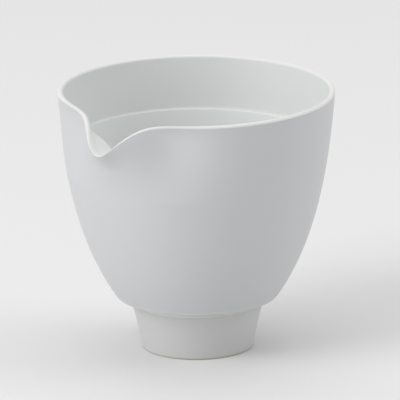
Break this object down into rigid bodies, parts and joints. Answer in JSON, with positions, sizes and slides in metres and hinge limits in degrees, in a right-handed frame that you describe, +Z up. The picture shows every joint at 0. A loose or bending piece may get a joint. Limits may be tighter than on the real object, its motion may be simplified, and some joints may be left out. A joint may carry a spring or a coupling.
{
  "type": "lipped sake pourer",
  "caption": "Open cup-shaped ceramic pourer with a pulled V lip, a measuring step inside and a tall hollow tapered foot.",
  "frame": {"origin": "centre of the bounding box's bottom, on the surface that the foot stands on", "axes": "+Z up along the vessel's axis, -Y the way the pouring lip points, +X to the right of someone who looks along +Y at the lip"},
  "size_m": [0.09, 0.0948, 0.0853],
  "materials": {
    "glaze": "satin pale blue-grey glaze",
    "foot_glaze": "satin pale blue-grey glaze"
  },
  "bodies": {
    "root": {"bowl": "glaze", "foot_ring": "foot_glaze"}
  },
  "joints": []
}
